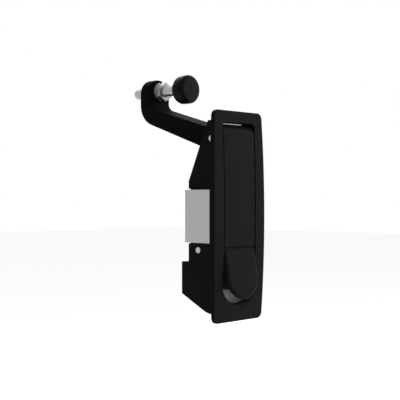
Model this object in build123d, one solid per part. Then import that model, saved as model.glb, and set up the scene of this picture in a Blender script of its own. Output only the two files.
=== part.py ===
"""Flush lever compression latch with a cranked arm, an adjusting screw and a rubber bumper.

Frame: X to the right, the front face looks along -Y, Z up, millimetres.
The origin is the middle of the flange's rear face, which lies on the panel.
"""
import os
from math import atan, cos, degrees, radians, tan

from build123d import *

# Flange that covers the panel cut-out
FLANGE_H = 152.0
FLANGE_W_END = 52.4
FLANGE_W_MID = 56.4
FLANGE_CORNER_R = 4.5
FLANGE_T_END = 3.0
FLANGE_T_MID = 4.5
FLANGE_EDGE_R = 0.7

# Reach of a cut that runs clear through
FAR = 60.0

# Housing box behind the flange
BOX_FRONT_Y = -1.0
BOX_HALF_W = 20.0
BOX_TOP_Z = 69.2
BOX_BOTTOM_Z = -70.0
BOX_REAR_Y = 28.0
SHOULDER_Y = 9.0
SLANT_END_Z = 25.5
TAIL_REAR_Y = 34.9
TAIL_TOP_Z = -33.5
TAIL_LOW_Z = -57.0
TAIL_FOOT = (11.3, -68.9)
BOX_FOOT_Y = 7.0
WALL = 2.3
SEAT_REAR_Y = 26.0
SEAT_HALF_H = 20.0

# Recess that holds the handle, and the round finger dish below it
RECESS_HALF_W = BOX_HALF_W - WALL
RECESS_TOP_Z = 67.7
RECESS_TOP_R = 3.0
RECESS_FLOOR_Y = 1.0
DISH_Z = -45.2
MOUTH_Z = -47.3
MOUTH_R = 20.9
MOUTH_ROUND = 5.5
MOUTH_FRONT_Y = -6.0
MOUTH_LIFT = 0.08
LEDGE_W = 2.2
LEDGE_Z = (-12.0, -8.0)

# Lever pivot and the handle round it
PIVOT_Y, PIVOT_Z = 6.0, 56.0
PIVOT_R = 2.5
KNUCKLE_R = 11.0
KNUCKLE_BEND_R = 8.0
HANDLE_HALF_W = RECESS_HALF_W - 0.5
HANDLE_WALL = 2.5
HANDLE_FACE_T = 3.0
HANDLE_REAR_Y = 5.0
HANDLE_EDGE_R = 1.0
SIDE_GAP = 0.35
RUN = 0.05

# Trigger, hinged in the handle's lower end
TRIG_Y, TRIG_Z = 0.2, -24.5
TRIG_PIN_R = 1.25
TRIG_PIN_HALF = 16.6
BARREL_R = 3.9
BARREL_GAP = 0.4
LIP_Z = TRIG_Z + 2.1
TRIG_TOP_Z = TRIG_Z + 0.7
TRIG_FLARE = 9.4
TRIG_FRONT_Y = -4.6
TRIG_TIP_Z = -59.9
TRIG_FACE_T = 2.6
TIP_T = 1.9
TRIG_EDGE_R = 2.5
SPRING_WINDOW = 4.0
SPRING_WIRE_R = 0.4
SPRING_MEAN_R = 2.3
SPRING_PITCH = 0.9
SPRING_TURNS = 4
SPRING_LEG = 6.5
LUG_X = 10.5
LUG_T = 3.2
LUG_R = 2.4
LUG_SLOT_T = 4.2

# Catch pin across the housing, and the hook that passes under it
CATCH_Y, CATCH_Z = 18.8, -24.6
CATCH_R = 2.4
HOOK_HALF_W = 5.0
HOOK_T = 2.0
HOOK_TOP_Z = CATCH_Z - CATCH_R - 0.4
HOOK_LIP_Z = HOOK_TOP_Z + 0.8
HOOK_END_Y = 24.8
RIVET_Z = (-38.2, -45.0)

# Cranked arm
ARM_HALF_W = 11.0
ARM_TOP = (42.3, 72.4)
ARM_TOP_SLOPE = radians(16.2)
ARM_LOW = (31.0, 53.3)
ARM_LOW_SLOPE = radians(19.3)
HUB_R = 7.3
BUSH_R = 3.5
POST_FRONT_Y = 77.6
POST_T = 12.2
POST_REAR_Y = POST_FRONT_Y + POST_T
SCREW_Z = 95.9
POST_END_Z = 94.6
POST_EDGE_R = 3.0
POST_REAR_R = 2.0
BEND_R = 17.0
CROTCH_R = 5.0
HEEL_FRONT_Y = 3.0
HEEL_REAR_Y = 8.0
HEEL_HALF_W = 8.0
HEEL_BOTTOM_Z = 11.0
HEEL_SCREW_Z = (18.0, 34.0)
ARM_SCREW_R = 2.0

# Adjusting screw M8, its lock nut and the bumper
M8_R = 3.95
M8_BORE_R = 4.0
SCREW_REAR_Y = 104.0
SOCKET_AF = 4.0
NUT_AF = 13.0
NUT_T = 4.0
SPRING_WASHER_R = 7.4
SPRING_WASHER_T = 2.0
NUT_BORE_R = 4.05
BUMPER_R = 10.9
BUMPER_FRONT_Y = 44.3
BUMPER_REAR_Y = 56.6
HEAD_R = 7.5
HEAD_T = 3.0
HEAD_FRONT_Y = 48.5

# Clamp bracket that grips the panel from behind
BRACKET_HALF_H = 19.2
BRACKET_T = 2.0
LEG_IN_X = BOX_HALF_W + 0.35
LEG_OUT_X = LEG_IN_X + BRACKET_T
LEG_FRONT_Y = 5.0
WEB_REAR_Y = 31.6
WEB_FRONT_Y = WEB_REAR_Y - BRACKET_T
M5_R = 2.5
CLAMP_SCREW_TIP_Y = 15.5
INSERT_FRONT_Y = 18.0
INSERT_R = 3.6
BOSS_R = 6.0
WASHER_T = 1.0


def yz(*points):
    """A closed face in the Y-Z plane from (y, z) points."""
    return Plane.YZ * make_face(Polyline(*points, close=True))


def slab(face, half):
    """The face extruded both ways along X."""
    return extrude(face, amount=half, both=True)


def block(x0, x1, y0, y1, z0, z1):
    """A box from its low and high sides."""
    centre = Pos((x0 + x1) / 2, (y0 + y1) / 2, (z0 + z1) / 2)
    return centre * Box(x1 - x0, y1 - y0, z1 - z0)


def rod_x(y, z, r, x0, x1):
    """A cylinder along X."""
    return Pos((x0 + x1) / 2, y, z) * Rot(0, 90, 0) * Cylinder(r, x1 - x0)


def rod_y(x, z, r, y0, y1):
    """A cylinder along Y."""
    return Pos(x, (y0 + y1) / 2, z) * Rot(90, 0, 0) * Cylinder(r, y1 - y0)


def hexagon_y(z, af, y0, y1):
    """A hexagonal prism along Y with a corner at the top."""
    corner_r = af / 2 / cos(radians(30))
    face = Plane.XZ.offset(-y0) * Pos(0, z) * RegularPolygon(corner_r, 6, rotation=90)
    return extrude(face, amount=-(y1 - y0))


def front_y(z):
    """Where the arched front of the flange lies at height z."""
    return -FLANGE_T_MID + (FLANGE_T_MID - FLANGE_T_END) * (z / (FLANGE_H / 2)) ** 2


def arch(inset=0.0):
    """Everything behind the arched front, moved back by the inset."""
    top = FLANGE_H / 2 + 4
    end_y = front_y(top) + inset
    front = ThreePointArc((end_y, -top), (front_y(0) + inset, 0), (end_y, top))
    back = Polyline((end_y, top), (60, top), (60, -top), (end_y, -top))
    return slab(Plane.YZ * make_face([front, back]), 60)


def flange_outline():
    """Barrel-sided plate outline in the X-Z plane."""
    w_end = FLANGE_W_END / 2
    w_mid = FLANGE_W_MID / 2
    top = FLANGE_H / 2
    sides = [
        Line((-w_end, top), (w_end, top)),
        ThreePointArc((w_end, top), (w_mid, 0), (w_end, -top)),
        Line((w_end, -top), (-w_end, -top)),
        ThreePointArc((-w_end, -top), (-w_mid, 0), (-w_end, top)),
    ]
    face = make_face(sides)
    return fillet(face.vertices(), FLANGE_CORNER_R)


def flange():
    """The cover plate with its arched, softly edged front."""
    plate = extrude(Plane.XZ * flange_outline(), amount=FLANGE_T_MID + 2) & arch()
    front = plate.faces().sort_by(Axis.Y)[0]
    return fillet(front.edges(), FLANGE_EDGE_R)


def box_outline():
    """Side view of the housing behind the flange."""
    return yz(
        (BOX_FRONT_Y, BOX_TOP_Z), (SHOULDER_Y, BOX_TOP_Z), (BOX_REAR_Y, SLANT_END_Z),
        (BOX_REAR_Y, SEAT_HALF_H), (SEAT_REAR_Y, SEAT_HALF_H),
        (SEAT_REAR_Y, -SEAT_HALF_H), (BOX_REAR_Y, -SEAT_HALF_H),
        (BOX_REAR_Y, TAIL_TOP_Z), (TAIL_REAR_Y, TAIL_TOP_Z), (TAIL_REAR_Y, TAIL_LOW_Z),
        TAIL_FOOT, (BOX_FOOT_Y, BOX_BOTTOM_Z), (BOX_FRONT_Y, BOX_BOTTOM_Z),
    )


def box_hollow():
    """Side view of the room behind the recess, open to the rear for the lever and below the seat."""
    return yz(
        (RECESS_FLOOR_Y, RECESS_TOP_Z), (FAR, RECESS_TOP_Z), (FAR, SLANT_END_Z),
        (BOX_REAR_Y - WALL, SLANT_END_Z - WALL), (SEAT_REAR_Y - WALL, SEAT_HALF_H),
        (SEAT_REAR_Y - WALL, -SEAT_HALF_H + 2), (BOX_REAR_Y - WALL, -SEAT_HALF_H),
        (BOX_REAR_Y - WALL, TAIL_TOP_Z - WALL), (TAIL_REAR_Y + WALL, TAIL_TOP_Z - WALL),
        (TAIL_REAR_Y + WALL, DISH_Z), (RECESS_FLOOR_Y, DISH_Z),
    )


def dish_mouth():
    """The dish's flared mouth, turned about an axis square to the arched face."""
    inner_r = MOUTH_R - MOUTH_ROUND
    out = MOUTH_ROUND * (1 - cos(radians(45)))
    section = [
        Polyline((inner_r, MOUTH_ROUND), (inner_r - 1, MOUTH_ROUND), (inner_r - 1, MOUTH_FRONT_Y),
                 (MOUTH_R, MOUTH_FRONT_Y), (MOUTH_R, 0)),
        ThreePointArc((MOUTH_R, 0), (inner_r + out, out), (inner_r, MOUTH_ROUND)),
    ]
    turned = revolve(make_face(section), Axis.Y)
    lean = (front_y(MOUTH_Z + 1) - front_y(MOUTH_Z - 1)) / 2
    return Pos(0, front_y(MOUTH_Z) - MOUTH_LIFT, MOUTH_Z) * Rot(-degrees(atan(lean)), 0, 0) * turned


def housing():
    """Moulded housing: flange, side cheeks, rear wall and finger pocket in one piece."""
    body = flange() + slab(box_outline(), BOX_HALF_W)
    recess_face = Plane.XZ.offset(FAR) * Pos(0, (RECESS_TOP_Z + DISH_Z) / 2) * Rectangle(
        2 * RECESS_HALF_W, RECESS_TOP_Z - DISH_Z)
    top_corners = recess_face.vertices().group_by(Axis.Z)[-1]
    body -= extrude(fillet(top_corners, RECESS_TOP_R), amount=-(FAR + RECESS_FLOOR_Y))
    body -= slab(box_hollow(), RECESS_HALF_W)
    body -= rod_y(0, DISH_Z, RECESS_HALF_W, -FAR, FAR)
    body -= dish_mouth()
    body += rod_y(0, 0, BOSS_R, INSERT_FRONT_Y, SEAT_REAR_Y)
    body -= rod_y(0, 0, INSERT_R, INSERT_FRONT_Y - 1, SEAT_REAR_Y + 1)
    for side in (-1, 1):
        ledge_x = sorted((side * RECESS_HALF_W, side * (RECESS_HALF_W - LEDGE_W)))
        body += block(*ledge_x, HANDLE_REAR_Y + 1.4, SEAT_REAR_Y - 1, *LEDGE_Z)
    body -= rod_x(PIVOT_Y, PIVOT_Z, PIVOT_R, -FAR, FAR)
    body -= rod_x(CATCH_Y, CATCH_Z, CATCH_R, -FAR, FAR)
    return body


def cross_pin(y, z, r):
    """Plain steel pin across the housing, its ends chamfered and just inside the cheeks' faces."""
    pin = rod_x(y, z, r, -BOX_HALF_W + 0.05, BOX_HALF_W - 0.05)
    return chamfer(pin.edges().filter_by(GeomType.CIRCLE), 0.3)


def clamp_insert():
    """Brass insert in the housing's boss that the clamp screw threads into."""
    body = rod_y(0, 0, INSERT_R, INSERT_FRONT_Y, SEAT_REAR_Y)
    return body - rod_y(0, 0, M5_R + RUN, INSERT_FRONT_Y - 1, SEAT_REAR_Y + 1)


def handle_shell():
    """Arched face with a round knuckle at the top, softly edged, open at the back."""
    knuckle = Plane.YZ * Pos(PIVOT_Y, PIVOT_Z) * Circle(KNUCKLE_R)
    cheeks = yz((-12, PIVOT_Z), (PIVOT_Y + 4, PIVOT_Z), (HANDLE_REAR_Y + 3, 44),
                (HANDLE_REAR_Y, 20), (HANDLE_REAR_Y, TRIG_Z + 6.0),
                (TRIG_Y, LIP_Z), (-12, LIP_Z))
    shell = (slab(knuckle, HANDLE_HALF_W) + slab(cheeks, HANDLE_HALF_W)) & arch()
    front = shell.faces().sort_by(Axis.Y)[0]
    shell = fillet(front.edges().sort_by(Axis.Z)[-1], KNUCKLE_BEND_R)
    front = shell.faces().sort_by(Axis.Y)[0]
    shell = fillet(front.edges().filter_by_position(Axis.Z, -80, 30), HANDLE_EDGE_R)
    inner_half = HANDLE_HALF_W - HANDLE_WALL
    shell -= arch(HANDLE_FACE_T) & block(-inner_half, inner_half, -12, 20, LIP_Z - 10, PIVOT_Z)
    shell -= rod_x(PIVOT_Y, PIVOT_Z, KNUCKLE_R - HANDLE_WALL, -inner_half, inner_half)
    arm_half = ARM_HALF_W + SIDE_GAP
    return shell - block(-arm_half, arm_half, PIVOT_Y + 4.0, 30, PIVOT_Z - 12, PIVOT_Z + 12)


def trigger_lug(side):
    """Gusset behind the handle's face with an eye for the trigger pin."""
    gusset = yz((TRIG_Y - 1.8, TRIG_Z), (TRIG_Y - 1.8, -20.0), (-2.6, -19.0), (-2.6, -11.0),
                (TRIG_Y + LUG_R, -17.5), (TRIG_Y + LUG_R, TRIG_Z))
    x0 = side * LUG_X - LUG_T / 2
    lug = Pos(side * LUG_X, 0, 0) * slab(gusset, LUG_T / 2)
    return lug + rod_x(TRIG_Y, TRIG_Z, LUG_R, x0, x0 + LUG_T)


def handle():
    """Moulded handle with ribs, pads for the arm's screws and lugs for the trigger pin."""
    body = handle_shell()
    rib_half = HANDLE_HALF_W - 1
    for z in (44.0, 4.0, -8.0):
        body += block(-rib_half, rib_half, -3.5, 1.2, z - 0.8, z + 0.8) & arch(1.0)
    for z in HEEL_SCREW_Z:
        body += rod_y(0, z, 4.2, -3.0, HEEL_FRONT_Y)
        body -= rod_y(0, z, ARM_SCREW_R, -2.4, HEEL_FRONT_Y + 1)
    body += block(-3.4, 3.4, -2.6, -0.2, -21.0, -15.5)
    body -= spring_hole(-1, -22.0, -17.0)
    body -= rod_x(TRIG_Y, TRIG_Z, BARREL_R + BARREL_GAP, -FAR, FAR)
    for side in (-1, 1):
        body += trigger_lug(side)
    body -= rod_x(TRIG_Y, TRIG_Z, TRIG_PIN_R, -FAR, FAR)
    return body - rod_x(PIVOT_Y, PIVOT_Z, PIVOT_R + RUN, -FAR, FAR)


def arm_line(point, slope, y):
    """Height at y of a line through the point."""
    return point[1] + (y - point[0]) * tan(slope)


def lever_arm():
    """Cast arm: hub, heel behind the handle, sloping beam and upright end for the screw."""
    top_z = arm_line(ARM_TOP, ARM_TOP_SLOPE, POST_FRONT_Y)
    low_z = arm_line(ARM_LOW, ARM_LOW_SLOPE, POST_REAR_Y)
    beam = yz(
        (PIVOT_Y, arm_line(ARM_TOP, ARM_TOP_SLOPE, PIVOT_Y)), (POST_FRONT_Y, top_z),
        (POST_FRONT_Y, POST_END_Z), (POST_REAR_Y, POST_END_Z), (POST_REAR_Y, low_z),
        (PIVOT_Y, arm_line(ARM_LOW, ARM_LOW_SLOPE, PIVOT_Y)),
    )
    bend = beam.vertices().sort_by_distance(Vector(0, POST_REAR_Y, low_z))[0]
    arm = slab(fillet(bend, BEND_R), ARM_HALF_W)
    arm += rod_y(0, POST_END_Z, ARM_HALF_W, POST_FRONT_Y, POST_REAR_Y)
    for side, radius in ((-1, POST_REAR_R), (0, POST_EDGE_R)):
        uprights = arm.edges().filter_by(Axis.Z).filter_by_position(Axis.Z, 80, POST_END_Z)
        arm = fillet(uprights.group_by(Axis.Y)[side], radius)
    foot = arm.edges().filter_by_position(Axis.Z, top_z - 0.1, top_z + 0.1)
    crotch = foot.filter_by_position(Axis.Y, POST_FRONT_Y - 0.1, POST_FRONT_Y + 0.1)
    arm = fillet(crotch.sort_by(SortBy.LENGTH)[-1], CROTCH_R)
    arm += rod_x(PIVOT_Y, PIVOT_Z, HUB_R, -ARM_HALF_W, ARM_HALF_W)
    arm += block(-HEEL_HALF_W, HEEL_HALF_W, HEEL_FRONT_Y, HEEL_REAR_Y, HEEL_BOTTOM_Z, PIVOT_Z)
    arm -= rod_y(0, SCREW_Z, M8_BORE_R, POST_FRONT_Y - 5, POST_REAR_Y + 5)
    arm -= rod_x(PIVOT_Y, PIVOT_Z, BUSH_R, -FAR, FAR)
    for z in HEEL_SCREW_Z:
        arm -= rod_y(0, z, ARM_SCREW_R + 0.2, 0, 20)
    return arm


def arm_screws():
    """Two pan-head screws that hold the arm's heel to the handle."""
    screws = []
    for z in HEEL_SCREW_Z:
        head = rod_y(0, z, 2 * ARM_SCREW_R, HEEL_REAR_Y, HEEL_REAR_Y + 2.6)
        head = chamfer(head.edges().sort_by(Axis.Y)[-1], 1.0, 1.6)
        screws.append(rod_y(0, z, ARM_SCREW_R, -2.2, HEEL_REAR_Y) + head)
    return Compound(children=screws)


def pivot_bushes():
    """Two flanged bushes pressed into the arm's hub from its sides."""
    bushes = []
    for side in (-1, 1):
        x0, x1 = sorted((side * 1.0, side * ARM_HALF_W))
        f0, f1 = sorted((side * ARM_HALF_W, side * (ARM_HALF_W + 1.0)))
        bush = rod_x(PIVOT_Y, PIVOT_Z, BUSH_R, x0, x1) + rod_x(PIVOT_Y, PIVOT_Z, 5.0, f0, f1)
        bushes.append(bush - rod_x(PIVOT_Y, PIVOT_Z, PIVOT_R + RUN, -FAR, FAR))
    return Compound(children=bushes)


def trigger_pin():
    """Slim pin that the trigger turns on, fixed in the handle's lugs."""
    return rod_x(TRIG_Y, TRIG_Z, TRIG_PIN_R, -TRIG_PIN_HALF, TRIG_PIN_HALF)


def trigger_face_y(z, depth=0.0):
    """Y of the trigger's flared face at height z, or of a face parallel to it further back."""
    flare = radians(TRIG_FLARE)
    return TRIG_FRONT_Y + (z - TRIG_TOP_Z) * tan(flare) + depth / cos(flare)


def behind_trigger_face(depth, half):
    """Everything behind the trigger's face moved back by the depth, within the half width."""
    return slab(yz(
        (trigger_face_y(-70, depth), -70), (trigger_face_y(-10, depth), -10), (40, -10), (40, -70),
    ), half)


def trigger_shell():
    """Flared face with a full round tip, rounded edges and tapering side walls."""
    half = HANDLE_HALF_W
    tip = Pos(0, TRIG_TIP_Z + half) * Circle(half)
    face = Pos(0, (TRIG_TOP_Z + TRIG_TIP_Z + half) / 2) * Rectangle(
        2 * half, TRIG_TOP_Z - TRIG_TIP_Z - half)
    plate = extrude(Plane.XZ.offset(14) * (tip + face), amount=-20)
    plate &= behind_trigger_face(0, 30)
    front = plate.faces().sort_by(Axis.Y)[0]
    edges = front.edges().sort_by(Axis.Z)
    plate = fillet(edges[:-1], TRIG_EDGE_R)
    cheeks = slab(yz(
        (-14, TRIG_TOP_Z), (TRIG_Y, TRIG_TOP_Z), (TRIG_Y + BARREL_R, TRIG_Z - 0.5),
        (3.0, -29.0), (trigger_face_y(-49, TRIG_FACE_T + 0.4), -49),
        (trigger_face_y(TRIG_TIP_Z - 1, TIP_T), TRIG_TIP_Z - 1), (-14, TRIG_TIP_Z - 1),
    ), 30)
    inner_half = half - TRIG_FACE_T
    return (plate & cheeks) - behind_trigger_face(TRIG_FACE_T, inner_half)


def trigger():
    """Moulded trigger: shell, ribs and a barrel cut away for the lugs and the spring."""
    body = trigger_shell()
    for side in (-1, 1):
        rib = yz((trigger_face_y(-26, 1), -26), (2.0, -26), (1.0, -30),
                 (trigger_face_y(-52, 2.7), -52), (trigger_face_y(-52, 1), -52))
        body += Pos(side * 6.9, 0, 0) * slab(rib, 0.8)
    body += rod_x(TRIG_Y, TRIG_Z, BARREL_R, -HANDLE_HALF_W, HANDLE_HALF_W)
    clear_y = TRIG_Y - LUG_R - BARREL_GAP
    for side in (-1, 1):
        x0 = side * LUG_X - LUG_SLOT_T / 2
        body -= block(x0, x0 + LUG_SLOT_T, clear_y, 20, TRIG_Z - LUG_R - BARREL_GAP, TRIG_Z + 8)
        body -= rod_x(TRIG_Y, TRIG_Z, BARREL_R + 0.01, x0, x0 + LUG_SLOT_T) & block(
            -30, 30, clear_y, 20, -60, 0)
    body -= block(-SPRING_WINDOW, SPRING_WINDOW, clear_y, 20, TRIG_Z - 8, TRIG_Z + 8)
    for z in RIVET_Z:
        body -= rivet_shank(z)
    return body - rod_x(TRIG_Y, TRIG_Z, TRIG_PIN_R + RUN, -FAR, FAR)


def square_to_face(z, solid):
    """The solid, drawn along +Y from the origin, set square on the trigger's inner face."""
    return Pos(0, trigger_face_y(z, TRIG_FACE_T), z) * Rot(-TRIG_FLARE, 0, 0) * solid


def rivet_shank(z):
    """Blind part of a rivet, from inside the trigger's face to the back of the hook's foot."""
    return square_to_face(z, rod_y(0, 0, 1.6, -1.6, HOOK_T))


def trigger_hook():
    """Pressed steel hook: foot on the trigger's inner face, arm to the rear, low lip at its end."""
    foot_low, foot_top = RIVET_Z[1] - 3.6, -31.0
    side = yz(
        (trigger_face_y(foot_low, TRIG_FACE_T), foot_low), (trigger_face_y(-30, TRIG_FACE_T), -30),
        (4.0, -29.2), (6.0, HOOK_TOP_Z), (CATCH_Y + 3.2, HOOK_TOP_Z), (CATCH_Y + 3.6, HOOK_LIP_Z),
        (HOOK_END_Y, HOOK_LIP_Z - 0.6), (HOOK_END_Y - 1.5, -31.4), (3.0, -32.6),
        (trigger_face_y(foot_top - 4, TRIG_FACE_T + HOOK_T), foot_top - 4),
        (trigger_face_y(foot_low, TRIG_FACE_T + HOOK_T), foot_low),
    )
    hook = slab(side, HOOK_HALF_W)
    for z in RIVET_Z:
        hook -= rivet_shank(z)
    return hook - spring_hole(1, -33.0, -28.0)


def hook_rivets():
    """Two round-headed rivets through the hook's foot."""
    rivets = []
    for z in RIVET_Z:
        head = rod_y(0, 0, 2.7, HOOK_T, HOOK_T + 1.2)
        head = chamfer(head.edges().sort_by(Axis.Y)[-1], 0.7, 1.1)
        rivets.append(rivet_shank(z) + square_to_face(z, head))
    return Compound(children=rivets)


def trigger_spring():
    """Torsion spring on the trigger pin: legs up into the handle's boss and down into the hook."""
    coil = Helix(SPRING_PITCH, SPRING_TURNS * SPRING_PITCH, SPRING_MEAN_R)
    start = Plane(coil @ 0, z_dir=coil % 0) * RegularPolygon(SPRING_WIRE_R, 6)
    end = Plane(coil @ 1, z_dir=coil % 1) * RegularPolygon(SPRING_WIRE_R, 6)
    wire = sweep(start, path=coil) + extrude(start, amount=-SPRING_LEG)
    wire += extrude(end, amount=SPRING_LEG + 1)
    turned = Rot(0, 90, 0) * Rot(0, 0, -90) * wire
    return Pos(-SPRING_TURNS * SPRING_PITCH / 2, TRIG_Y, TRIG_Z) * turned


def spring_hole(side, z0, z1):
    """Upright hole that a leg of the trigger spring sits in."""
    x = side * (SPRING_TURNS * SPRING_PITCH / 2 + 0.3)
    return Pos(x, TRIG_Y - SPRING_MEAN_R, (z0 + z1) / 2) * Cylinder(2 * SPRING_WIRE_R, z1 - z0)


def adjusting_screw():
    """M8 screw with a round head that turns in the bumper and a hexagon socket at its rear end."""
    rear = rod_y(0, SCREW_Z, M8_R, HEAD_FRONT_Y + HEAD_T, SCREW_REAR_Y)
    rear = chamfer(rear.edges().sort_by(Axis.Y)[-1], 0.8)
    head = rod_y(0, SCREW_Z, HEAD_R, HEAD_FRONT_Y, HEAD_FRONT_Y + HEAD_T)
    head = chamfer(head.edges().filter_by(GeomType.CIRCLE), 0.3)
    return rear + head - hexagon_y(SCREW_Z, SOCKET_AF, SCREW_REAR_Y - 5, SCREW_REAR_Y + 1)


def lock_nut():
    """Thin M8 nut, its corners rounded off on both faces."""
    rear_y = POST_FRONT_Y - SPRING_WASHER_T
    nut = hexagon_y(SCREW_Z, NUT_AF, rear_y - NUT_T, rear_y)
    corner_r = NUT_AF / 2 / cos(radians(30))
    drum = rod_y(0, SCREW_Z, corner_r, rear_y - NUT_T, rear_y)
    nut &= chamfer(drum.edges().filter_by(GeomType.CIRCLE), 0.45, 0.9)
    return nut - rod_y(0, SCREW_Z, NUT_BORE_R, rear_y - NUT_T - 1, rear_y + 1)


def lock_washer():
    """Split spring washer under the lock nut."""
    ring = rod_y(0, SCREW_Z, SPRING_WASHER_R, POST_FRONT_Y - SPRING_WASHER_T, POST_FRONT_Y)
    ring -= rod_y(0, SCREW_Z, M8_R + 0.25, POST_FRONT_Y - 5, POST_FRONT_Y + 5)
    split = Pos(0, POST_FRONT_Y - SPRING_WASHER_T / 2, SCREW_Z + 6) * Rot(0, 0, 20) * Box(0.8, 6, 5)
    return ring - split


def bumper():
    """Rubber buffer moulded round the screw's head, flat in front and rounded at the rear."""
    outer = rod_y(0, SCREW_Z, BUMPER_R, BUMPER_FRONT_Y, BUMPER_REAR_Y)
    rims = outer.edges().filter_by(GeomType.CIRCLE).sort_by(Axis.Y)
    outer = fillet(rims[0], 1.6)
    rims = outer.edges().filter_by(GeomType.CIRCLE).sort_by(Axis.Y)
    outer = fillet(rims[-1], 4.0)
    room = rod_y(0, SCREW_Z, HEAD_R + 0.08, HEAD_FRONT_Y - 0.1, HEAD_FRONT_Y + HEAD_T + 0.1)
    return outer - room - rod_y(0, SCREW_Z, M8_R + 0.08, HEAD_FRONT_Y, BUMPER_REAR_Y + 1)


def clamp_bracket():
    """Bent steel clamp: web across the rear, a leg along each cheek, hole for the clamp screw."""
    outer = Pos(0, (WEB_REAR_Y + LEG_FRONT_Y) / 2) * Rectangle(2 * LEG_OUT_X, WEB_REAR_Y - LEG_FRONT_Y)
    outer = fillet(outer.vertices().group_by(Axis.Y)[-1], BRACKET_T + 1)
    inner = Pos(0, WEB_FRONT_Y - 30) * Rectangle(2 * LEG_IN_X, 60)
    inner = fillet(inner.vertices().group_by(Axis.Y)[-1], 1.0)
    bracket = extrude(outer - inner, amount=BRACKET_HALF_H, both=True)
    return bracket - rod_y(0, 0, M5_R + 0.25, WEB_FRONT_Y - 5, WEB_REAR_Y + 5)


def clamp_washer():
    """Flat washer under the clamp screw's head."""
    washer = rod_y(0, 0, 5.0, WEB_REAR_Y, WEB_REAR_Y + WASHER_T)
    return washer - rod_y(0, 0, M5_R + 0.15, WEB_REAR_Y - 1, WEB_REAR_Y + 5)


def clamp_screw():
    """M5 screw with a domed head and a hexagon socket, threaded into the housing's insert."""
    seat_y = WEB_REAR_Y + WASHER_T + 0.05
    shank = rod_y(0, 0, M5_R, CLAMP_SCREW_TIP_Y, seat_y)
    shank = chamfer(shank.edges().sort_by(Axis.Y)[0], 0.6)
    head = rod_y(0, 0, 4.6, seat_y, seat_y + 2.8)
    head = chamfer(head.edges().sort_by(Axis.Y)[-1], 1.2, 1.6)
    return shank + head - hexagon_y(0, 3.0, seat_y + 1.0, seat_y + 4)


NODES = {
    "housing": housing,
    "clamp_insert": clamp_insert,
    "handle": handle,
    "lever_arm": lever_arm,
    "arm_screws": arm_screws,
    "pivot_bushes": pivot_bushes,
    "trigger_pin": trigger_pin,
    "trigger": trigger,
    "trigger_hook": trigger_hook,
    "hook_rivets": hook_rivets,
    "trigger_spring": trigger_spring,
    "adjusting_screw": adjusting_screw,
    "lock_nut": lock_nut,
    "lock_washer": lock_washer,
    "bumper": bumper,
    "clamp_bracket": clamp_bracket,
    "clamp_washer": clamp_washer,
    "clamp_screw": clamp_screw,
}

os.makedirs("parts", exist_ok=True)
export_step(cross_pin(PIVOT_Y, PIVOT_Z, PIVOT_R), "parts/pivot_pin.step")
export_step(cross_pin(CATCH_Y, CATCH_Z, CATCH_R), "parts/catch_pin.step")
for name, make in NODES.items():
    export_step(make(), f"parts/{name}.step")
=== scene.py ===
from math import cos, pi, radians, sin, tan

import bmesh
import bpy
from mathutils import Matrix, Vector


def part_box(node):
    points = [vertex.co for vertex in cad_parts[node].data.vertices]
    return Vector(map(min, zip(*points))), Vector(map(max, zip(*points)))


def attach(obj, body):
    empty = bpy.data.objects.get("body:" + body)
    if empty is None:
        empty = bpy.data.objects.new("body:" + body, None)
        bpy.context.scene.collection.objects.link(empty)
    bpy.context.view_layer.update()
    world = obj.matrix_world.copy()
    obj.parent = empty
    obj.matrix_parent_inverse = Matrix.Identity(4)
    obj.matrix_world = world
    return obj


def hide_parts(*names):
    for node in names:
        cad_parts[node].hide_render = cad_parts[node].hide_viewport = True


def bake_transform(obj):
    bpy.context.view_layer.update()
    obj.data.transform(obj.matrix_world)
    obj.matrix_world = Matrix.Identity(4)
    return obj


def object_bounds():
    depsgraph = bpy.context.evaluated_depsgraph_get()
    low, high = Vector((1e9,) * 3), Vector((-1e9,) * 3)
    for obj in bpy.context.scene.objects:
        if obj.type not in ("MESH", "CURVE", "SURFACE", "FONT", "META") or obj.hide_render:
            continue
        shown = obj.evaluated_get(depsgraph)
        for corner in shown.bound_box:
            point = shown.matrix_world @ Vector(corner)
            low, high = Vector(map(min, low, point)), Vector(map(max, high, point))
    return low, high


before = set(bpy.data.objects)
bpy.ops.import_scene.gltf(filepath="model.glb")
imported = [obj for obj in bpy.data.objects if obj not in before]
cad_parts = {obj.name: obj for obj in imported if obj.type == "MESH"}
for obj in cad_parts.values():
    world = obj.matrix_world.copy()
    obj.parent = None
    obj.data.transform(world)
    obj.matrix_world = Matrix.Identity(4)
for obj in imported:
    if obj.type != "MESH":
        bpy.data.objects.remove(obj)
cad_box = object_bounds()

# ---------------------------------------------------------------- housing
# The flange, the box behind it and the finger pocket are one injection moulding in black
# glass-filled nylon. It drops into a cut-out in the door and the flange covers the edge.
mm = 0.001


def linear(code):
    """Scene-linear colour of an sRGB hex code."""
    parts = [int(code[i:i + 2], 16) / 255 for i in (1, 3, 5)]
    return [p / 12.92 if p <= 0.04045 else ((p + 0.055) / 1.055) ** 2.4 for p in parts] + [1.0]


def add(tree, kind, settings=None, links=None):
    """Adds a node with its settings, by socket or property, and the sources of its inputs."""
    made = tree.nodes.new(kind)
    for name, value in (settings or {}).items():
        if isinstance(name, int) or name in made.inputs:
            made.inputs[name].default_value = value
        else:
            setattr(made, name, value)
    for name, source in (links or {}).items():
        tree.links.new(source, made.inputs[name])
    return made


def new_material(name):
    """A material with an empty tree, and the place on the object that its patterns start from."""
    made = bpy.data.materials.new(name)
    made.use_nodes = True
    made.node_tree.nodes.clear()
    place = add(made.node_tree, "ShaderNodeTexCoord").outputs["Object"]
    return made, made.node_tree, place


def show(tree, shader):
    """Puts a shader on the surface of its material."""
    add(tree, "ShaderNodeOutputMaterial", links={"Surface": shader.outputs["BSDF"]})


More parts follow.
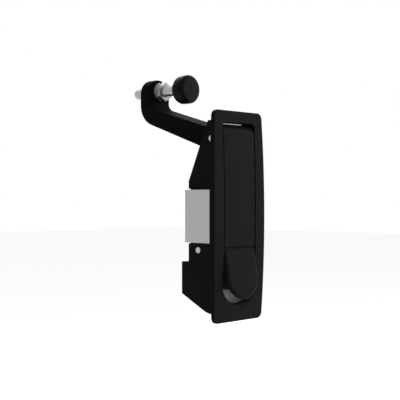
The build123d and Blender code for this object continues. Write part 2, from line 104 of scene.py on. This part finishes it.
def dress(node, material):
    """Gives a piece that keeps its CAD shape its material."""
    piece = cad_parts[node]
    piece.data.materials.clear()
    piece.data.materials.append(material)


def moulded_nylon(name, dark, light, grain_mm, roughness, gloss=0.02):
    """Spark-eroded nylon: pits of the mould's skin, and slow bands where the melt flowed.

    To the eye it is a quiet black with a soft sheen that never turns into a mirror.
    """
    material, tree, place = new_material(name)
    flow_mm = 22
    pits = add(tree, "ShaderNodeTexNoise", {"Scale": 1 / (grain_mm * mm), "Detail": 2.0}, {"Vector": place})
    flow = add(tree, "ShaderNodeTexNoise", {"Scale": 1 / (flow_mm * mm), "Detail": 3.0}, {"Vector": place})
    tint = add(tree, "ShaderNodeMix", {"data_type": "RGBA", 6: linear(dark), 7: linear(light)},
               {0: flow.outputs["Fac"]})
    rough = add(tree, "ShaderNodeMapRange", {"To Min": roughness - 0.05, "To Max": roughness + 0.05},
                {"Value": pits.outputs["Fac"]})
    relief = add(tree, "ShaderNodeBump", {"Strength": 0.15, "Distance": 0.03 * mm},
                 {"Height": pits.outputs["Fac"]})
    shader = add(tree, "ShaderNodeBsdfPrincipled", {"IOR": 1.53, "Specular IOR Level": gloss},
                 {"Base Color": tint.outputs[2], "Roughness": rough.outputs["Result"],
                  "Normal": relief.outputs["Normal"]})
    show(tree, shader)
    return material


# The grain is 0.15 mm wide on the real moulding and drawn at 0.5 mm, so that it shows.
housing_nylon = moulded_nylon("spark_eroded_nylon", "#1e1e1e", "#232323", grain_mm=0.5, roughness=0.5)
dress("housing", housing_nylon)

# The core that forms the finger pocket is polished, so that the moulding slides off it. The
# pocket's round floor is glossier than the rest and picks up the light from its open rear end.
# It is made of flat faces, whose middles lie up to 0.15 mm inside the round.
pocket_nylon = moulded_nylon("core_polished_nylon", "#1c1c1c", "#212121", grain_mm=0.5, roughness=0.56,
                             gloss=0.7)
pocket_radius_mm, pocket_centre_mm, floor_top_mm = 17.7, -45.2, -56.0
inside_mm, outside_mm = 0.15, 0.02
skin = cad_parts["housing"].data
skin.materials.append(pocket_nylon)
for face in skin.polygons:
    off_axis = Vector((face.center.x, face.center.z - pocket_centre_mm * mm)).length / mm
    faces_axis = Vector((face.normal.x, face.normal.z)).length > 0.99
    on_wall = pocket_radius_mm - inside_mm < off_axis < pocket_radius_mm + outside_mm
    if on_wall and faces_axis and face.center.z < floor_top_mm * mm:
        face.material_index = 1

# ---------------------------------------------------------------- pivot pin and catch pin
# Two bright steel pins, turned from bar and pressed through the housing's cheeks. The upper
# one carries the lever, and the trigger's hook catches under the lower one.
wave_unit = 0.314  # a wave texture of scale 1 repeats at this distance


def turned_steel(name, centre):
    """Turned bar about an axis along X: fine tool rings on the faces that break up a highlight.

    The tool leaves a ring every 0.1 mm, and they are drawn every 0.35 mm, so that they show.
    """
    material, tree, place = new_material(name)
    ring_mm, haze_mm = 0.35, 1.5
    off = add(tree, "ShaderNodeVectorMath", {"operation": "SUBTRACT", 1: centre}, {0: place})
    rings = add(tree, "ShaderNodeTexWave", {"wave_type": "RINGS", "rings_direction": "X", "Distortion": 0.4,
                                            "Scale": wave_unit / (ring_mm * mm)},
                {"Vector": off.outputs["Vector"]})
    haze = add(tree, "ShaderNodeTexNoise", {"Scale": 1 / (haze_mm * mm), "Detail": 3.0}, {"Vector": place})
    tint = add(tree, "ShaderNodeMix", {"data_type": "RGBA", 6: linear("#9a9a9a"), 7: linear("#c2c2c3")},
               {0: haze.outputs["Fac"]})
    relief = add(tree, "ShaderNodeBump", {"Strength": 0.25, "Distance": 0.03 * mm},
                 {"Height": rings.outputs["Fac"]})
    shader = add(tree, "ShaderNodeBsdfPrincipled", {"Metallic": 1.0, "Roughness": 0.38},
                 {"Base Color": tint.outputs[2], "Normal": relief.outputs["Normal"]})
    show(tree, shader)
    return material


for pin in ("pivot_pin", "catch_pin"):
    low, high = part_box(pin)
    dress(pin, turned_steel(f"turned_steel_{pin}", (low + high) / 2))

# ---------------------------------------------------------------- clamp insert
# A brass bush, turned and knurled, that is pressed into the boss behind the recess. The
# clamp screw threads into it, so that the nylon carries no thread of its own.
brass, tree, place = new_material("turned_brass")
# The knurl's ridges sparkle in slanting lines, and a thin tarnish dulls the yellow in patches.
knurl_mm, tarnish_mm = 0.6, 3
knurl = add(tree, "ShaderNodeTexWave", {"bands_direction": "DIAGONAL", "Scale": wave_unit / (knurl_mm * mm)},
            {"Vector": place})
tarnish = add(tree, "ShaderNodeTexNoise", {"Scale": 1 / (tarnish_mm * mm), "Detail": 4.0}, {"Vector": place})
tint = add(tree, "ShaderNodeMix", {"data_type": "RGBA", 6: linear("#9c7a35"), 7: linear("#cdaa5a")},
           {0: tarnish.outputs["Fac"]})
relief = add(tree, "ShaderNodeBump", {"Strength": 0.3, "Distance": 0.05 * mm},
             {"Height": knurl.outputs["Fac"]})
shader = add(tree, "ShaderNodeBsdfPrincipled", {"Metallic": 1.0, "Roughness": 0.35},
             {"Base Color": tint.outputs[2], "Normal": relief.outputs["Normal"]})
show(tree, shader)
dress("clamp_insert", brass)

# ---------------------------------------------------------------- lever arm
# A cranked zinc die casting, powder-coated black. Its hub turns on the pivot pin, its heel is
# screwed to the handle, and its upright end is drilled for the adjusting screw.
coat, tree, place = new_material("powder_coated_zinc")
# Melted powder leaves an orange peel 1.5 mm across, which ripples the sheen without a grain.
peel_mm, cloud_mm = 1.5, 25
peel = add(tree, "ShaderNodeTexNoise", {"Scale": 1 / (peel_mm * mm), "Detail": 1.5}, {"Vector": place})
cloud = add(tree, "ShaderNodeTexNoise", {"Scale": 1 / (cloud_mm * mm), "Detail": 2.0}, {"Vector": place})
tint = add(tree, "ShaderNodeMix", {"data_type": "RGBA", 6: linear("#1e1e1e"), 7: linear("#232323")},
           {0: cloud.outputs["Fac"]})
rough = add(tree, "ShaderNodeMapRange", {"To Min": 0.66, "To Max": 0.76}, {"Value": peel.outputs["Fac"]})
relief = add(tree, "ShaderNodeBump", {"Strength": 0.2, "Distance": 0.05 * mm},
             {"Height": peel.outputs["Fac"]})
shader = add(tree, "ShaderNodeBsdfPrincipled", {"IOR": 1.5, "Specular IOR Level": 0.01},
             {"Base Color": tint.outputs[2], "Roughness": rough.outputs["Result"],
              "Normal": relief.outputs["Normal"]})
show(tree, shader)


def bring_in(name, data):
    """Puts a mesh, a bent wire, a lamp or a camera in the scene as an object."""
    made = bpy.data.objects.new(name, data)
    bpy.context.scene.collection.objects.link(made)
    return made


def finished(name, mesh):
    """The object of a mesh that has been worked on, which is then let go."""
    data = bpy.data.meshes.new(name)
    mesh.to_mesh(data)
    mesh.free()
    return bring_in(name, data)


def soften(piece, degrees):
    """Smooth shading that stays sharp over edges above the angle."""
    piece.data.shade_smooth()
    piece.data.set_sharp_from_angle(angle=radians(degrees))


def fit(piece, material, body, slot, *nodes):
    """Puts a built piece in the frame: material, body and the CAD nodes it stands for. The slot is not used.
    """
    piece.data.materials.append(material)
    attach(piece, body)
    if nodes:
        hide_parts(*nodes)


# Powder runs thin on a sharp corner, so the die rounds the edges of both flat sides behind
# the hub. The hub and the heel keep the edges that the bushes and the handle seat on.
rounding_mm, hub_rear_mm = 1.2, 20
side_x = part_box("lever_arm")[1].x
cast = bmesh.new()
cast.from_mesh(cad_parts["lever_arm"].data)
bmesh.ops.remove_doubles(cast, verts=cast.verts, dist=0.001 * mm)
bmesh.ops.dissolve_limit(cast, angle_limit=radians(0.5), verts=cast.verts, edges=cast.edges)
outer_edges = []
for edge in cast.edges:
    middle = (edge.verts[0].co + edge.verts[1].co) / 2
    on_side = abs(middle.x) >= side_x - 0.01 * mm
    behind_hub = middle.y >= hub_rear_mm * mm
    if on_side and behind_hub and edge.calc_face_angle(0) >= radians(60):
        outer_edges.append(edge)
bmesh.ops.bevel(cast, geom=outer_edges, offset=rounding_mm * mm, segments=4, profile=0.5,
                affect="EDGES", clamp_overlap=True)
arm = finished("cast_arm", cast)
soften(arm, 35)
fit(arm, coat, "lever", "coated_arm", "lever_arm")

# ---------------------------------------------------------------- pivot bushes
# Two flanged bushes of sintered bronze, pressed into the hub from its sides and soaked in
# oil. They keep the coated zinc off the steel pin.
bronze, tree, place = new_material("sintered_bronze")
# The pores are 0.05 mm and drawn at 0.3 mm: dark specks that make the bronze look dry.
pore_mm = 0.3
pores = add(tree, "ShaderNodeTexVoronoi", {"Scale": 1 / (pore_mm * mm)}, {"Vector": place})
speck = add(tree, "ShaderNodeMapRange", {"From Min": 0.1, "From Max": 0.35},
            {"Value": pores.outputs["Distance"]})
tint = add(tree, "ShaderNodeMix", {"data_type": "RGBA", 6: linear("#4d3b22"), 7: linear("#93703f")},
           {0: speck.outputs["Result"]})
shader = add(tree, "ShaderNodeBsdfPrincipled", {"Metallic": 1.0, "Roughness": 0.5},
             {"Base Color": tint.outputs[2]})
show(tree, shader)
dress("pivot_bushes", bronze)

# ---------------------------------------------------------------- handle and trigger
# The pull handle and the trigger in its lower end are moulded in the same nylon as the
# housing, in a mould with a finer skin, so they feel smoother under the fingers. The real
# grain is 0.1 mm and drawn at 0.35 mm.
grip_nylon = moulded_nylon("fine_grain_nylon", "#1e1e1e", "#222222", grain_mm=0.35, roughness=0.45)
dress("handle", grip_nylon)
dress("trigger", grip_nylon)

# ---------------------------------------------------------------- arm screws
# Two M4 pan-head screws with a cross recess hold the arm's heel to pads inside the handle.
# They are cold-headed steel with a clear zinc plating.


def zinc_plated(name, dark, light, roughness, streak_mm, along):
    """Clear zinc plating: a pale, slightly cloudy metal whose streaks follow the way it was worked.

    The lines of rolling and drawing are 0.05 mm apart, and drawn at streak_mm, so that they show.
    """
    material, tree, place = new_material(name)
    cloud_mm = 7
    stretch = add(tree, "ShaderNodeVectorMath", {"operation": "MULTIPLY", 1: along}, {0: place})
    streaks = add(tree, "ShaderNodeTexNoise", {"Scale": 1 / (streak_mm * mm), "Detail": 3.0},
                  {"Vector": stretch.outputs["Vector"]})
    cloud = add(tree, "ShaderNodeTexNoise", {"Scale": 1 / (cloud_mm * mm), "Detail": 3.0}, {"Vector": place})
    tint = add(tree, "ShaderNodeMix", {"data_type": "RGBA", 6: linear(dark), 7: linear(light)},
               {0: cloud.outputs["Fac"]})
    rough = add(tree, "ShaderNodeMapRange", {"To Min": roughness - 0.06, "To Max": roughness + 0.06},
                {"Value": streaks.outputs["Fac"]})
    relief = add(tree, "ShaderNodeBump", {"Strength": 0.1, "Distance": 0.02 * mm},
                 {"Height": streaks.outputs["Fac"]})
    shader = add(tree, "ShaderNodeBsdfPrincipled", {"Metallic": 1.0},
                 {"Base Color": tint.outputs[2], "Roughness": rough.outputs["Result"],
                  "Normal": relief.outputs["Normal"]})
    show(tree, shader)
    return material


def circle(radius):
    """Radius of a round section at every angle."""
    return lambda angle: radius


def cross(reach, half_width):
    """Radius of a cross-shaped section."""
    def radius(angle):
        lean = abs((angle + pi / 4) % (pi / 2) - pi / 4)
        return min(reach / cos(lean), half_width / max(sin(lean), 1e-6))
    return radius


def turned(name, x, z, rows, steps=48):
    """A piece turned about an axis along Y: rows of (y, radius in mm at each angle), end to end.

    A row without a radius is the single point that closes an end.
    """
    mesh = bmesh.new()
    loops = []
    for y, radius in rows:
        if radius is None:
            loops.append([mesh.verts.new((x, y * mm, z))] * steps)
            continue
        loop = []
        for i in range(steps):
            angle = 2 * pi * i / steps
            r = radius(angle) * mm
            loop.append(mesh.verts.new((x + r * sin(angle), y * mm, z + r * cos(angle))))
        loops.append(loop)
    for one, two in zip(loops, loops[1:]):
        for i in range(steps):
            j = (i + 1) % steps
            corners = list(dict.fromkeys((one[i], one[j], two[j], two[i])))
            mesh.faces.new(corners)
    bmesh.ops.recalc_face_normals(mesh, faces=mesh.faces)
    return finished(name, mesh)


screw_zinc = zinc_plated("zinc_plated_screw", "#8f8f90", "#a9a9aa", 0.42, 0.5, (1.0, 0.2, 1.0))
low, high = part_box("arm_screws")
m4_radius, head_radius, head_mm = 2.0, 4.0, 2.6
tip, top = low.y / mm, high.y / mm
seat = top - head_mm
for name, z, nodes in (
    ("arm_screw_lower", low.z + head_radius * mm, ["arm_screws"]),
    ("arm_screw_upper", high.z - head_radius * mm, []),
):
    shank = [(tip, None), (tip, circle(1.6)), (tip + 0.4, circle(m4_radius)), (seat, circle(m4_radius))]
    head = [(seat, circle(3.9)), (seat + 0.1, circle(head_radius)), (seat + 1.2, circle(head_radius)),
            (seat + 1.9, circle(3.7)), (seat + 2.35, circle(3.1)), (seat + head_mm, circle(2.4))]
    recess = [(seat + head_mm, cross(2.0, 0.54)), (seat + 0.9, cross(1.3, 0.35)), (seat + 0.6, None)]
    screw = turned(name, 0, z, shank + head + recess)
    soften(screw, 40)
    fit(screw, screw_zinc, "lever", "zinc_thread", *nodes)

# ---------------------------------------------------------------- trigger pin
# A slim pin of bright steel, turned from bar and pressed through the handle's two lugs. The
# trigger's barrel turns on it.
low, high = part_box("trigger_pin")
dress("trigger_pin", turned_steel("turned_steel_trigger_pin", (low + high) / 2))

# ---------------------------------------------------------------- trigger hook and rivets
# The hook is a strip of zinc-plated steel, bent in a press and held inside the trigger's
# face by two round-headed rivets. It passes under the catch pin and holds the handle shut.
sheet_zinc = zinc_plated("zinc_plated_sheet", "#a5a5a6", "#aeaeaf", 0.5, 0.6, (1.0, 1.0, 0.12))
dress("trigger_hook", sheet_zinc)
low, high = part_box("hook_rivets")
dress("hook_rivets", turned_steel("turned_steel_rivets", (low + high) / 2))

# ---------------------------------------------------------------- trigger spring
# A torsion spring of hard-drawn wire round the trigger pin. One leg stands in the handle's
# boss and the other in the hook, and it pushes the trigger's tip out.
wire_mm, coil_mm, pitch_mm, turns, steps = 0.8, 4.6, 0.9, 4, 24
low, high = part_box("trigger_pin")
pin = (low + high) / 2
low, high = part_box("trigger_spring")
coil_radius = coil_mm / 2 * mm
front_y = pin.y - coil_radius
half = turns * pitch_mm / 2 * mm
path = [(-half, front_y, high.z)]
for i in range(steps * turns + 1):
    angle = 2 * pi * i / steps
    path.append((-half + pitch_mm * mm * i / steps, pin.y - coil_radius * cos(angle),
                 pin.z - coil_radius * sin(angle)))
path.append((half, front_y, low.z))
curve = bpy.data.curves.new("trigger_spring_wire", "CURVE")
curve.dimensions = "3D"
curve.bevel_depth = wire_mm / 2 * mm
curve.bevel_resolution = 3
curve.use_fill_caps = True
line = curve.splines.new("POLY")
line.points.add(len(path) - 1)
for point, spot in zip(line.points, path):
    point.co = (*spot, 1.0)
line.use_smooth = True
bent_wire = bring_in("bent_wire", curve)
bpy.context.view_layer.update()
spring = bring_in("trigger_spring_wire", bpy.data.meshes.new_from_object(bent_wire))
bpy.data.objects.remove(bent_wire)
bpy.data.curves.remove(curve)
spring.data.shade_smooth()

wire, tree, place = new_material("oiled_drawn_wire")
# Drawing leaves fine lines along the wire, and the oil darkens it: a grey, glossy thread. The
# lines are 0.05 mm apart and drawn at 0.4 mm.
draw_mm = 0.4
lines = add(tree, "ShaderNodeTexNoise", {"Scale": 1 / (draw_mm * mm), "Detail": 2.0}, {"Vector": place})
tint = add(tree, "ShaderNodeMix", {"data_type": "RGBA", 6: linear("#5c5c5e"), 7: linear("#858587")},
           {0: lines.outputs["Fac"]})
shader = add(tree, "ShaderNodeBsdfPrincipled", {"Metallic": 1.0, "Roughness": 0.3},
             {"Base Color": tint.outputs[2]})
show(tree, shader)
spring.data.materials.append(wire)
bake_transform(spring)
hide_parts("trigger_spring")

# ---------------------------------------------------------------- lock washer and lock nut
# A split washer of spring steel and a thin M8 nut lock the adjusting screw against the
# arm. The nut is cold-formed, zinc-plated, and its corners are rounded off on both faces.
thread_zinc = zinc_plated("zinc_plated_thread", "#a0a0a1", "#b8b8b9", 0.4, 0.5, (1.0, 0.2, 1.0))
nut_zinc = zinc_plated("zinc_plated_nut", "#7e7e7f", "#8e8e8f", 0.45, 0.5, (1.0, 0.2, 1.0))
washer_zinc = zinc_plated("zinc_plated_spring", "#8c8c8d", "#9c9c9d", 0.42, 0.5, (1.0, 1.0, 1.0))
dress("lock_nut", nut_zinc)
dress("lock_washer", washer_zinc)

# ---------------------------------------------------------------- adjusting screw
# An M8 screw of zinc-plated steel with a rolled thread over its whole length. Its head turns
# in the bumper, and a hexagon socket in the rear end takes the key that sets how hard the
# door is pressed.


def hexagon(across_flats):
    """Radius of a hexagonal section, with a corner at the top."""
    return lambda angle: across_flats / 2 / cos((angle + pi / 6) % (pi / 3) - pi / 6)


def thread(start, end, radius, pitch):
    """Rows of a right-hand rolled thread with flat crests and roots, fading out at both ends.

    The roots are drawn 0.35 of the pitch deep, as the flat root makes up for the full depth.
    """
    depth, crest, flank, rows_per_turn = 0.35 * pitch, 0.15, 0.6, 8
    rows = []
    count = round((end - start) / pitch * rows_per_turn)
    for k in range(count + 1):
        y = start + (end - start) * k / count
        fade = max(0.0, min(1.0, (y - start) / pitch, (end - y) / pitch))

        def section(angle, y=y, fade=fade):
            turn = abs((y / pitch - angle / (2 * pi)) % 1 - 0.5) * 2
            return radius - depth * fade * min(1.0, max(0.0, (turn - crest) / flank))
        rows.append((y, section))
    return rows


low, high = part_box("lock_nut")
screw_z = (low.z + high.z) / 2
low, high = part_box("adjusting_screw")
front, rear = low.y / mm, high.y / mm
m8_radius, m8_pitch, head_radius, head_mm, socket = 3.95, 1.25, 7.5, 3.0, hexagon(4.0)
head = [(front, None), (front, circle(7.2)), (front + 0.3, circle(head_radius)),
        (front + 2.7, circle(head_radius)), (front + head_mm, circle(7.2))]
stem = [(front + head_mm, circle(m8_radius)), *thread(front + 5, rear - 0.8, m8_radius, m8_pitch)]
key_end = [(rear, circle(3.2)), (rear, circle(2.6)), (rear - 0.3, socket), (rear - 5, socket),
           (rear - 5.6, None)]
screw = turned("adjusting_screw_m8", 0, screw_z, head + stem + key_end)
soften(screw, 50)
fit(screw, thread_zinc, "adjusting_screw", "zinc_thread", "adjusting_screw")

# ---------------------------------------------------------------- bumper
# A buffer of black rubber, moulded round the screw's head. Its flat front presses on the
# door frame, its edges are well rounded, and the mould leaves a satin skin.
rubber, tree, place = new_material("moulded_rubber")
# A faint bloom of wax lies on the skin in patches of a few millimetres and greys it a little.
# The mould's skin has a grain of 0.1 mm, drawn at 0.6 mm.
bloom_mm, skin_mm = 4, 0.6
bloom = add(tree, "ShaderNodeTexNoise", {"Scale": 1 / (bloom_mm * mm), "Detail": 4.0}, {"Vector": place})
skin = add(tree, "ShaderNodeTexNoise", {"Scale": 1 / (skin_mm * mm), "Detail": 2.0}, {"Vector": place})
tint = add(tree, "ShaderNodeMix", {"data_type": "RGBA", 6: linear("#0f0f0f"), 7: linear("#171717")},
           {0: bloom.outputs["Fac"]})
rough = add(tree, "ShaderNodeMapRange", {"To Min": 0.36, "To Max": 0.48}, {"Value": bloom.outputs["Fac"]})
relief = add(tree, "ShaderNodeBump", {"Strength": 0.12, "Distance": 0.03 * mm},
             {"Height": skin.outputs["Fac"]})
shader = add(tree, "ShaderNodeBsdfPrincipled", {"IOR": 1.5, "Specular IOR Level": 0.05},
             {"Base Color": tint.outputs[2], "Roughness": rough.outputs["Result"],
              "Normal": relief.outputs["Normal"]})
show(tree, shader)

low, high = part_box("bumper")
front, rear = low.y / mm, high.y / mm
radius = (high.x - low.x) / 2 / mm
front_round, rear_round, steps = 3.0, 4.0, 8
rows = [(front, None), (front, circle(radius - front_round))]
for i in range(1, steps + 1):
    turn = pi / 2 * i / steps
    rows.append((front + front_round * (1 - cos(turn)), circle(radius - front_round * (1 - sin(turn)))))
for i in range(steps + 1):
    turn = pi / 2 * i / steps
    rows.append((rear - rear_round * (1 - sin(turn)), circle(radius - rear_round * (1 - cos(turn)))))
# The hole at the rear clears the stem, and the room inside it holds the head.
stem_hole, head_room, room_rear, room_front = 4.05, 7.58, rear - 5, rear - 8.2
rows += [(rear, circle(4.6)), (rear - 0.5, circle(4.1)), (room_rear, circle(stem_hole)),
         (room_rear, circle(head_room)), (room_front, circle(head_room)), (room_front, None)]
bumper = turned("bumper_buffer", 0, screw_z, rows, steps=64)
soften(bumper, 40)
fit(bumper, rubber, "bumper", "buffer_rubber", "bumper")

# ---------------------------------------------------------------- clamp bracket and washer
# A strip of 2 mm zinc-plated steel, bent to a U round the housing. Its two legs grip the
# door from behind, and a plain washer spreads the load of the clamp screw.
dress("clamp_bracket", sheet_zinc)
dress("clamp_washer", screw_zinc)

# ---------------------------------------------------------------- clamp screw
# An M5 button-head screw of zinc-plated steel, cold-headed, with a hexagon socket. It draws
# the bracket towards the flange, and its rolled thread runs in the brass insert.
low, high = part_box("clamp_screw")
tip, top = low.y / mm, high.y / mm
m5_radius, m5_pitch, head_mm, socket = 2.5, 0.8, 2.8, hexagon(3.0)
seat = top - head_mm
shank = [(tip, None), (tip, circle(1.8)), *thread(tip + 0.5, seat - 1.0, m5_radius, m5_pitch),
         (seat, circle(m5_radius))]
head = [(seat, circle(4.4)), (seat + 0.2, circle(4.6)), (seat + 0.9, circle(4.55)),
        (seat + 1.6, circle(4.1)), (seat + 2.2, circle(3.4)), (seat + 2.6, circle(2.7)), (top, circle(2.1))]
key_end = [(top - 0.1, socket), (seat + 1.0, socket), (seat + 0.7, None)]
screw = turned("clamp_screw_m5", 0, 0, shank + head + key_end)
soften(screw, 40)
fit(screw, screw_zinc, "clamp_screw", "zinc_thread", "clamp_screw")

# ---------------------------------------------------------------- studio
# A plain pale floor some way under the latch, and white surroundings. A large soft lamp at
# the front right lifts the front faces, and two at the rear shine through the pocket.


def looked_at(tree):
    """1 for what the camera sees, also in a reflection or through something clear, else 0."""
    rays = add(tree, "ShaderNodeLightPath")
    seen = rays.outputs["Is Camera Ray"]
    for kind in ("Is Glossy Ray", "Is Transmission Ray"):
        either = add(tree, "ShaderNodeMath", {"operation": "MAXIMUM"}, {0: seen, 1: rays.outputs[kind]})
        seen = either.outputs["Value"]
    return seen


# The floor glows a little to the eye, so that it is as pale as what surrounds it, and it
# still takes the latch's shadow.
floor_half, floor_drop, floor_lift = 6, 0.22, 0.88
grid = bmesh.new()
bmesh.ops.create_grid(grid, x_segments=1, y_segments=1, size=floor_half)
floor = finished("floor", grid)
floor.location.z = cad_box[0][2] - floor_drop
paint, tree = new_material("pale_floor_paint")[:2]
lift = add(tree, "ShaderNodeMath", {"operation": "MULTIPLY", 1: floor_lift}, {0: looked_at(tree)})
glow = add(tree, "ShaderNodeEmission", {"Color": linear("#ffffff")}, {"Strength": lift.outputs["Value"]})
matt = add(tree, "ShaderNodeBsdfDiffuse", {"Color": linear("#ededed")})
both = add(tree, "ShaderNodeAddShader", links={0: matt.outputs["BSDF"], 1: glow.outputs["Emission"]})
add(tree, "ShaderNodeOutputMaterial", links={"Surface": both.outputs["Shader"]})
floor.data.materials.append(paint)

# The surroundings look white, and only a little of their light falls on the latch.
world = bpy.data.worlds.new("studio")
world.use_nodes = True
bpy.context.scene.world = world
tree = world.node_tree
tree.nodes.clear()
soft = add(tree, "ShaderNodeBackground", {"Color": linear("#ffffff"), "Strength": 0.08})
plain = add(tree, "ShaderNodeBackground", {"Color": linear("#ffffff"), "Strength": 1.0})
mixed = add(tree, "ShaderNodeMixShader",
            links={0: looked_at(tree), 1: soft.outputs["Background"], 2: plain.outputs["Background"]})
add(tree, "ShaderNodeOutputWorld", links={"Surface": mixed.outputs["Shader"]})

middle = Vector((0, 0.04, 0.01))
for name, size, watts, place in (
    ("front_right", 2.4, 25, (1.14, -0.98, 0.1)),
    ("rear_right", 0.8, 15, (0.5, 1.2, 0.6)),
    ("rear", 0.8, 14, (0.55, 1.5, 0.25)),
):
    lamp = bpy.data.lights.new(name, "AREA")
    lamp.size = size
    lamp.energy = watts
    stand = bring_in(name, lamp)
    stand.location = place
    stand.rotation_mode = "QUATERNION"
    stand.rotation_quaternion = (middle - Vector(place)).to_track_quat("-Z", "Y")

# The camera stands to the left of the front and looks almost level.
turned_left, tipped_down = radians(47), radians(0.295)
lens = bpy.data.cameras.new("camera")
lens.lens = 82.26
lens.sensor_width = 36
camera = bring_in("camera", lens)
camera.location = (-0.5038, -0.4345, 0.0152)
look = Vector((sin(turned_left), cos(turned_left), -tan(tipped_down)))
camera.rotation_mode = "QUATERNION"
camera.rotation_quaternion = look.to_track_quat("-Z", "Y")
bpy.context.scene.camera = camera

bpy.context.scene.view_settings.view_transform = "Standard"
